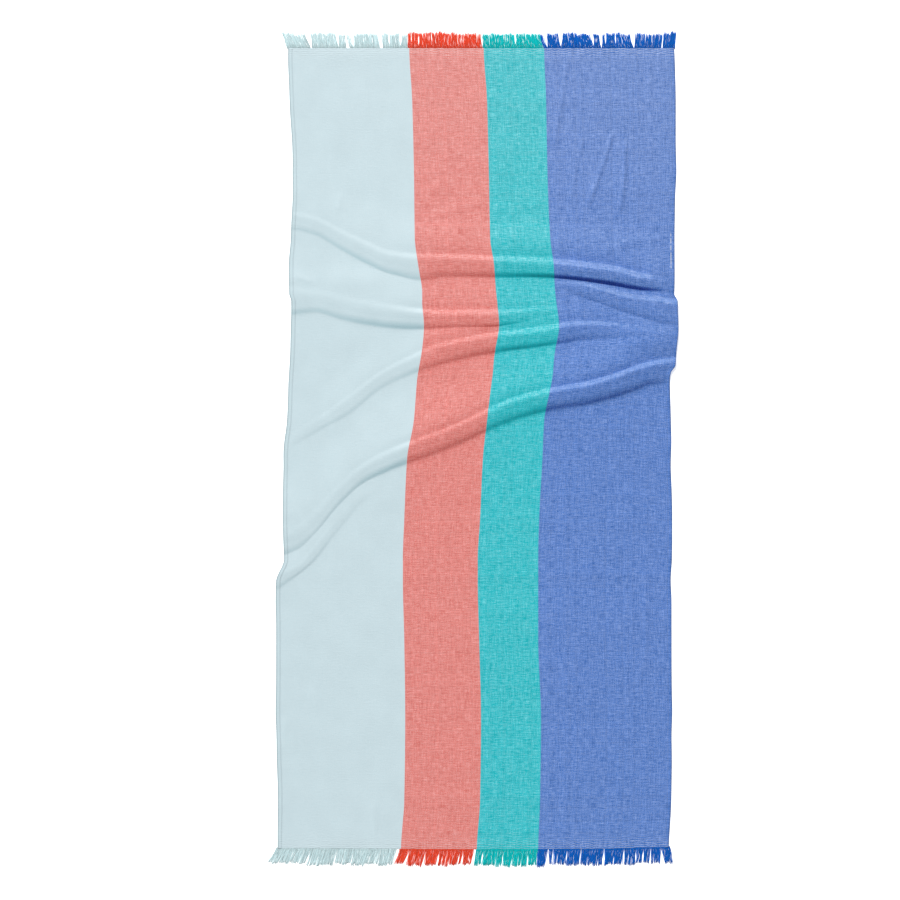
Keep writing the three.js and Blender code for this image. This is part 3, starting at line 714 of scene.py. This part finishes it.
def make_yarns(end, name, start, finish, material, seed):
    """The loose warp yarns of one stripe at one end. The yarns of a lock leave the cloth side by side,
    draw in a little along its bowed line, wind about each other in two layers and stray at their tips."""
    outward = ENDS[end][1]
    roots, reaches, places = locks_of(end)
    kept = (roots > start) & (roots < finish)
    roots, reaches, places = roots[kept], reaches[kept], places[kept]
    locks = len(roots)
    dice = np.random.default_rng(seed)
    s = np.linspace(0, 1, YARN_RINGS)[None, None]
    row = (np.arange(YARNS) - (YARNS - 1) / 2)[None, :, None]
    _, straying, shortening = np.moveaxis(dice.uniform(-1, 1, (locks, YARNS, 3)), 2, 0)[..., None]
    spin = dice.uniform(0, 2 * np.pi, (locks, 1, 1)) + np.arange(YARNS)[None, :, None] * 2.4
    turns = dice.uniform(0.35, 0.9, (locks, 1, 1)) * 2 * np.pi

    x0, x1, x2 = (places[:, n, None, None] for n in range(3))
    m = LOCK_SHARES[1]
    line = x0 * (s - m) * (s - 1) / m + x1 * s * (s - 1) / (m * (m - 1)) + x2 * s * (s - m) / (1 - m)
    loose = 1 - ease(0, 0.32, s)
    narrowing = dice.uniform(0.25, 0.7, (locks, 1, 1))
    fan = YARN_PITCH * (1.2 - narrowing * ease(0, 0.7, s))
    winding = 0.7 * np.cos(spin + turns * s) * (1 - loose)
    stray = 1.9 * straying * s**1.5
    x = line + row * fan + winding + stray
    reach = (reaches[:, None, None] + LOCK_BITE) * (1.16 - 0.08 * (1 + shortening))
    edge = end_edge(end, roots)[:, None, None] - outward * LOCK_BITE
    y = edge + outward * reach * s
    layer = (np.arange(YARNS) % 2)[None, :, None]
    lift = (layer + 0.4 * (1 + np.sin(spin + turns * s))) * (1 - loose) * (1 - 0.5 * s)
    z = 0.92 * YARN_RADIUS + lift
    x, y = on_table(x, y)
    centres = np.stack([x, y, np.broadcast_to(z * MM, x.shape)], axis=3)
    centres = centres.reshape(-1, YARN_RINGS, 3)
    thin = np.interp(np.linspace(0, 1, YARN_RINGS), [0, 0.2, 0.85, 1], [0.8, 1, 0.95, 0.6])
    body = dice.uniform(0.86, 1.12, (locks * YARNS, 1))
    radii = YARN_RADIUS * MM * thin[None] * body
    centres[..., 2] = np.maximum(centres[..., 2], radii + 0.02 * MM)
    points, faces, tube_map, yarn = tubes_along(centres, radii)
    piece = put_in_mesh(f"yarns_{end}_{name}", points, faces, material)
    add_map(piece, "yarn", tube_map)
    add_numbers(piece, "tone", dice.uniform(0, 1, locks * YARNS)[yarn])
    return piece


class Recipe:
    """One material, with short calls for the nodes that its finish is mixed from."""

    def __init__(self, name):
        self.material = bpy.data.materials.new(name)
        self.material.use_nodes = True
        self.tree = self.material.node_tree
        self.skin = self.tree.nodes["Principled BSDF"]

    def node(self, kind, **settings):
        made = self.tree.nodes.new(kind)
        for key, value in settings.items():
            setattr(made, key, value)
        return made

    def feed(self, socket, value):
        if isinstance(value, bpy.types.NodeSocket):
            self.tree.links.new(value, socket)
        else:
            socket.default_value = value

    def math(self, operation, *values):
        made = self.node("ShaderNodeMath", operation=operation)
        for socket, value in zip(made.inputs, values):
            self.feed(socket, value)
        return made.outputs[0]

    def plus(self, a, b):
        return self.math("ADD", a, b)

    def minus(self, a, b):
        return self.math("SUBTRACT", a, b)

    def times(self, a, b):
        return self.math("MULTIPLY", a, b)

    def map_places(self, name):
        """The two directions of a UV map, in metres or turns."""
        source = self.node("ShaderNodeUVMap", uv_map=name)
        parts = self.node("ShaderNodeSeparateXYZ")
        self.feed(parts.inputs[0], source.outputs[0])
        return parts.outputs[0], parts.outputs[1]

    def place(self, x, y, z=0.0):
        made = self.node("ShaderNodeCombineXYZ")
        for socket, value in zip(made.inputs, (x, y, z)):
            self.feed(socket, value)
        return made.outputs[0]

    def noise(self, place, detail=2.0, roughness=0.5):
        """Smooth noise from 0 to 1, one cell a unit of place."""
        made = self.node("ShaderNodeTexNoise", noise_dimensions="3D")
        self.feed(made.inputs["Vector"], place)
        made.inputs["Scale"].default_value = 1.0
        made.inputs["Detail"].default_value = detail
        made.inputs["Roughness"].default_value = roughness
        return made.outputs[0]

    def each(self, number):
        """One random value from 0 to 1 for each whole number."""
        made = self.node("ShaderNodeTexWhiteNoise", noise_dimensions="1D")
        self.feed(made.inputs["W"], self.math("FLOOR", number))
        return made.outputs["Value"]

    def ramp(self, value, low, high, start=0.0, end=1.0):
        """Goes smoothly from start to end while value goes from low to high."""
        made = self.node("ShaderNodeMapRange", interpolation_type="SMOOTHSTEP")
        for socket, number in zip(made.inputs, (value, low, high, start, end)):
            self.feed(socket, number)
        return made.outputs[0]

    def mix(self, share, first, second, blend="MIX"):
        made = self.node("ShaderNodeMix", data_type="RGBA", blend_type=blend)
        self.feed(made.inputs[0], share)
        self.feed(made.inputs[6], first)
        self.feed(made.inputs[7], second)
        return made.outputs[2]

    def steps(self, place, stops):
        """Colour that changes abruptly at each stop, given as a share of the whole width."""
        made = self.node("ShaderNodeValToRGB")
        made.color_ramp.interpolation = "CONSTANT"
        elements = made.color_ramp.elements
        elements.remove(elements[1])
        for n, (start, colour) in enumerate(stops):
            stop = elements[0] if n == 0 else elements.new(start)
            stop.position = start
            stop.color = (*colour, 1)
        self.feed(made.inputs[0], place)
        return made.outputs[0]

    def relief(self, height):
        """Bump from a height in metres."""
        made = self.node("ShaderNodeBump")
        made.inputs["Strength"].default_value = 1.0
        made.inputs["Distance"].default_value = 1.0
        self.feed(made.inputs["Height"], height)
        self.feed(self.skin.inputs["Normal"], made.outputs[0])


# Dyes of the warp yarns as they show in the cloth, and in the loose fringe, and the undyed weft
EXPOSURE = 1.18
WARP_DYES = {
    "pale": (0.59, 0.772, 0.838),
    "coral": (0.82, 0.065, 0.03),
    "teal": (0.002, 0.557, 0.626),
    "blue": (0.01, 0.15, 0.595),
}
FRINGE_DYES = {
    "pale": (0.72, 0.92, 0.95),
    "coral": (0.98, 0.09, 0.04),
    "teal": (0.001, 0.64, 0.65),
    "blue": (0.002, 0.145, 0.63),
}
WEFT_DYE = (0.93, 0.95, 0.95)

# White weft in each stripe: its share of the surface, how strongly slubs streak it across, how uneven it
# is along its threads, how much painted light bares it on a slope that climbs towards the light at the
# top end and painted shade hides it on a slope that falls away, how uneven the shade is, and how much the
# dye pales as a painted highlight on a slope that climbs
WEFT_SHOWS = {
    "pale": (0.205, 0.01, 0.03, 0.5, 0.02, 0),
    "coral": (0.25, 0.04, 0.15, 0.22, 0.2, 0),
    "teal": (0.06, 0.05, 0.8, 0.95, 0.27, 0),
    "blue": (0.14, 0.04, 0.25, 0.25, 0.32, 0.13),
}

# Threads from middle to middle, in millimetres
WARP_PITCH = 1.1
WEFT_PITCH = 1.25

# In metres: the ribs near both ends from middle to middle, the hem's stitch line from the edge and its
# stitches from middle to middle, and where white frayed stitches begin and end at the right hem
RIB_PITCH = 0.0046
STITCH_LINE = 0.0084
STITCH_PITCH = 0.0042
FRAYED = (0.408, 0.49)


def lit(colour):
    """Dye as the share of light that it sends back, taken from its brightness in the picture."""
    return tuple(value / EXPOSURE for value in colour)


def stripe_stops(values):
    """One stop at the left border of each stripe."""
    return [(mark / CLOTH_WIDTH, values[name]) for mark, name in zip(MARKS, STRIPES)]


def woven_finish():
    """Plain weave on the cloth's own map. The product of a cosine across and a cosine along says which
    thread is on top. The white weft shows where it is low enough, and slubs and uneven beating shift that
    limit. Each thread has a shade of its own. Light and shade of the folds are painted in as well: on a
    slope that climbs towards the light at the top end more weft shows, and the blue pales, as painted
    highlight; where the cloth falls away down the towel less weft shows and the dye deepens, by a power
    of itself, as painted shade, and the pale stripe turns a little greener there as painted shade."""
    r = Recipe("plain weave, striped cotton")
    u, v = r.map_places("threads")
    across = r.times(u, 1000 / WARP_PITCH)
    along = r.times(v, 1000 / WEFT_PITCH)
    wobble = r.noise(r.place(r.times(u, 90), r.times(v, 60)), 1)
    drift = r.times(r.minus(wobble, 0.5), 1.1)
    over = r.times(
        r.math("COSINE", r.times(r.plus(across, drift), np.pi)),
        r.math("COSINE", r.times(r.plus(along, drift), np.pi)),
    )

    place = r.times(u, 1000 / CLOTH_WIDTH)
    shows = r.node("ShaderNodeSeparateColor")
    first_three = {name: numbers[:3] for name, numbers in WEFT_SHOWS.items()}
    r.feed(shows.inputs[0], r.steps(place, stripe_stops(first_three)))
    level, streaking, patchiness = shows.outputs
    changes = r.node("ShaderNodeSeparateColor")
    last_three = {name: numbers[3:] for name, numbers in WEFT_SHOWS.items()}
    r.feed(changes.inputs[0], r.steps(place, stripe_stops(last_three)))
    painted_light_and_shade, unevenness, painted_highlight_paling = changes.outputs
    slub = r.ramp(r.noise(r.place(r.times(u, 50), r.times(v, 460)), 1), 0.56, 0.8)
    crosswise = r.minus(r.noise(r.place(r.times(u, 55), r.times(v, 480)), 3, 0.75), 0.5)
    lengthwise = r.minus(r.noise(r.place(r.times(u, 480), r.times(v, 36)), 3, 0.75), 0.5)
    grain = r.plus(crosswise, r.times(lengthwise, 0.7))
    share = r.times(level, r.plus(r.times(r.times(grain, patchiness), 10), 1))
    share = r.plus(share, r.times(slub, streaking))
    paler = r.times(r.ramp(v, 0.7, 0.05), r.plus(r.times(unevenness, 0.12), 0.015))
    share = r.plus(share, paler)
    painted_light_slope = r.node("ShaderNodeAttribute", attribute_name="painted_light_slope").outputs["Fac"]
    # Painted light and shade: more white weft shows on slopes that face the light, less on slopes that
    # fall away from it
    share = r.times(share, r.plus(r.times(painted_light_slope, painted_light_and_shade), 1))

    inward = r.math("MINIMUM", u, r.minus(CLOTH_WIDTH * MM, u))
    hem = r.ramp(inward, 0.0098, 0.0092)
    share = r.times(share, r.ramp(hem, 0, 1, 1, 0.82))
    from_end = r.math("MINIMUM", v, r.minus(WOVEN_LENGTH * MM, v))
    rib = r.math("SINE", r.times(r.plus(v, r.times(wobble, 0.007)), 2 * np.pi / RIB_PITCH))
    near_end = r.ramp(from_end, 0.004, 0.036, 1, 0)
    rib_share = r.plus(r.times(unevenness, 0.4), 0.01)
    share = r.plus(share, r.times(r.times(rib, near_end), rib_share))
    share = r.plus(share, r.times(near_end, 0.03))

    limit = r.minus(0.93, r.times(share, 2.2))
    low = r.minus(r.times(over, -1), limit)
    weft_up = r.plus(r.times(r.ramp(low, -0.2, 0.2), 0.5), r.times(share, 0.5))
    warp = r.steps(place, stripe_stops({n: lit(WARP_DYES[n]) for n in STRIPES}))
    colour = r.mix(weft_up, warp, (*lit(WEFT_DYE), 1))
    warp_shade = r.minus(r.each(r.plus(across, 0.5)), 0.5)
    weft_shade = r.minus(r.each(r.plus(along, 0.5)), 0.5)
    uneven = r.plus(r.times(grain, 3.4), r.times(r.plus(warp_shade, weft_shade), 0.37))
    thread_shade = r.plus(r.times(uneven, unevenness), 1)
    cloudy = r.ramp(r.noise(r.place(r.times(u, 22), r.times(v, 16)), 2), 0.25, 0.75, 0.985, 1.015)
    edge_line = r.ramp(inward, 0.001, 0.0038, 0.7, 1)
    stitch_line = r.math("ABSOLUTE", r.minus(inward, STITCH_LINE))
    in_line = r.ramp(stitch_line, 0.0009, 0.0004)
    stitch_run = r.math("FRACT", r.times(v, 1 / STITCH_PITCH))
    stitch = r.times(in_line, r.ramp(r.math("ABSOLUTE", r.minus(stitch_run, 0.5)), 0.36, 0.3))
    shade = r.times(thread_shade, r.times(cloudy, edge_line))
    shade = r.times(shade, r.ramp(in_line, 0, 1, 1, 0.93))
    colour = r.mix(1.0, colour, r.place(shade, shade, shade), "MULTIPLY")
    thread = r.mix(0.3, warp, (*lit(WEFT_DYE), 1))
    colour = r.mix(r.times(stitch, 0.5), colour, thread)
    first, last = FRAYED
    frayed = r.times(r.ramp(v, first, first + 0.005), r.ramp(v, last, last - 0.005))
    frayed = r.times(frayed, r.ramp(r.noise(r.place(r.times(v, 130), 0.0), 1), 0.36, 0.5))
    frayed = r.times(r.times(frayed, in_line), r.math("GREATER_THAN", u, 0.5))
    colour = r.mix(r.times(frayed, 0.9), colour, (*lit(WEFT_DYE), 1))
    # Painted shade: the pale stripe is tinted greener on slopes that fall away from the light
    painted_shade_tint = r.times(r.ramp(painted_light_slope, -0.1, -0.9), r.math("LESS_THAN", u, MARKS[1] * MM))
    colour = r.mix(painted_shade_tint, colour, (0.89, 0.985, 1.0, 1), "MULTIPLY")
    # Painted shade and highlight: the dye is raised to a power above one, darker and deeper, where the
    # cloth falls away from the light, and in the blue to a power below one, paler, where it climbs
    # towards it
    painted_shade_and_highlight = r.ramp(painted_light_slope, -0.6, -2.2, 0, 0.6)
    painted_shade_and_highlight = r.minus(painted_shade_and_highlight, r.times(r.ramp(painted_light_slope, 0, 1), painted_highlight_paling))
    painted_power_node = r.node("ShaderNodeGamma")
    r.feed(painted_power_node.inputs[0], colour)
    r.feed(painted_power_node.inputs[1], r.plus(painted_shade_and_highlight, 1))
    r.feed(r.skin.inputs["Base Color"], painted_power_node.outputs[0])

    fuzz = r.noise(r.place(r.times(u, 2600), r.times(v, 2600)), 2)
    crinkle = r.noise(r.place(r.times(u, 120), r.times(v, 260)), 2)
    height = r.times(r.math("ABSOLUTE", over), 0.00012)
    height = r.plus(height, r.times(slub, 0.00012))
    height = r.plus(height, r.times(fuzz, 0.00004))
    crinkle_height = r.ramp(from_end, 0.01, 0.07, 0.0006, 0.00025)
    height = r.plus(height, r.times(crinkle, crinkle_height))
    height = r.plus(height, r.times(r.times(rib, near_end), 0.00014))
    height = r.plus(height, r.times(in_line, -0.0003))
    height = r.plus(height, r.times(stitch, 0.0003))
    r.relief(height)
    r.feed(r.skin.inputs["Roughness"], r.ramp(fuzz, 0.2, 0.8, 0.84, 0.96))
    r.skin.inputs["Specular IOR Level"].default_value = 0.25
    r.skin.inputs["Sheen Weight"].default_value = 0.06
    r.skin.inputs["Sheen Roughness"].default_value = 0.5
    return r.material


def yarn_finish(name):
    """Loose cotton yarn of two plies. Slanting furrows run round it on its own map and are darkened as
    painted shade; its shade is the tone of each yarn, with painted shade near the root where the yarns
    leave the cloth, and fine fibre noise roughens it."""
    r = Recipe(f"{name} cotton yarn")
    around, along = r.map_places("yarn")
    tone = r.node("ShaderNodeAttribute", attribute_name="tone").outputs["Fac"]
    fibre = r.noise(r.place(r.times(around, 9), r.times(along, 900), r.times(tone, 40)), 3)
    twist = r.plus(r.times(around, 2), r.times(along, 1 / 0.0026))
    ply = r.math("ABSOLUTE", r.math("SINE", r.times(twist, np.pi)))
    shade = r.plus(r.times(tone, 0.36), 0.8)
    # Painted shade: the furrows between the plies are darkened
    shade = r.times(shade, r.ramp(ply, 0, 0.6, 0.78, 1))
    shade = r.times(shade, r.ramp(fibre, 0.25, 0.75, 0.93, 1.07))
    # Painted shade: the first centimetre from the root, where the yarns leave the cloth, is darker
    shade = r.times(shade, r.ramp(along, 0.003, 0.012, 0.88, 1.03))
    dye = (*lit(FRINGE_DYES[name]), 1)
    worn = r.mix(r.ramp(r.minus(fibre, r.times(tone, 0.2)), 0.42, 0.7, 0, 0.03), dye, (*lit(WEFT_DYE), 1))
    colour = r.mix(1.0, worn, r.place(shade, shade, shade), "MULTIPLY")
    r.feed(r.skin.inputs["Base Color"], colour)
    r.relief(r.plus(r.times(ply, 0.00016), r.times(fibre, 0.00006)))
    r.feed(r.skin.inputs["Roughness"], r.ramp(fibre, 0.2, 0.8, 0.85, 0.97))
    r.skin.inputs["Specular IOR Level"].default_value = 0.1
    r.skin.inputs["Sheen Weight"].default_value = 0.03
    r.skin.inputs["Sheen Roughness"].default_value = 0.5
    return r.material


def light_softly():
    """A pale dome all round, a soft sun from the towel's top end and a little from its left, and a
    large weak softbox over the top end."""
    scene = bpy.context.scene
    scene.view_settings.view_transform = "Standard"
    world = bpy.data.worlds.new("studio")
    world.use_nodes = True
    world.node_tree.nodes["Background"].inputs["Color"].default_value = (1, 1, 1, 1)
    world.node_tree.nodes["Background"].inputs["Strength"].default_value = 0.36
    scene.world = world
    sun = bpy.data.lights.new("sun", "SUN")
    sun.energy = 2.72
    sun.angle = np.radians(14)
    lamp = bpy.data.objects.new("sun", sun)
    lamp.rotation_euler = (np.radians(-40), 0, np.radians(27))
    scene.collection.objects.link(lamp)
    box = bpy.data.lights.new("softbox", "AREA")
    box.shape = "RECTANGLE"
    box.size = 2.4
    box.size_y = 1.2
    box.energy = 11
    panel = bpy.data.objects.new("softbox", box)
    panel.location = (0.3, 2.2, 2.2)
    panel.rotation_euler = (np.radians(-40), 0, 0)
    scene.collection.objects.link(panel)


# In metres: the floor's width, and how far it lies under the towel
FLOOR_WIDTH = 18.0
FLOOR_GAP = 0.0002


def lay_floor():
    """A pale floor just under the towel, which glows a little like a light table."""
    material = bpy.data.materials.new("pale floor")
    material.use_nodes = True
    skin = material.node_tree.nodes["Principled BSDF"]
    skin.inputs["Base Color"].default_value = (0.95, 0.95, 0.95, 1)
    skin.inputs["Roughness"].default_value = 0.9
    skin.inputs["Specular IOR Level"].default_value = 0.1
    skin.inputs["Emission Color"].default_value = (1, 1, 1, 1)
    skin.inputs["Emission Strength"].default_value = 0.5
    half = FLOOR_WIDTH / 2
    corners = np.array([(-half, -half), (half, -half), (half, half), (-half, half)])
    points = np.column_stack([corners, np.full(4, -FLOOR_GAP)])
    floor = put_in_mesh("floor", points, [np.array([[0, 1, 2, 3]])], material)


look_straight_down()
light_softly()
lay_floor()

cloth = make_cloth(woven_finish())
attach(cloth, "root")
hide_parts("cloth")

fringe = []
for end in ENDS:
    section = SECTIONS[0] if end == "top" else SECTIONS[-1]
    for n, name in enumerate(STRIPES):
        finish = bpy.data.materials.get(f"{name} cotton yarn") or yarn_finish(name)
        yarns = make_yarns(end, name, section[1 + n], section[2 + n], finish, seed=20 + len(fringe))
        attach(yarns, "root")
        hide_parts(f"fringe_{end}_{name}")
        fringe.append(yarns)
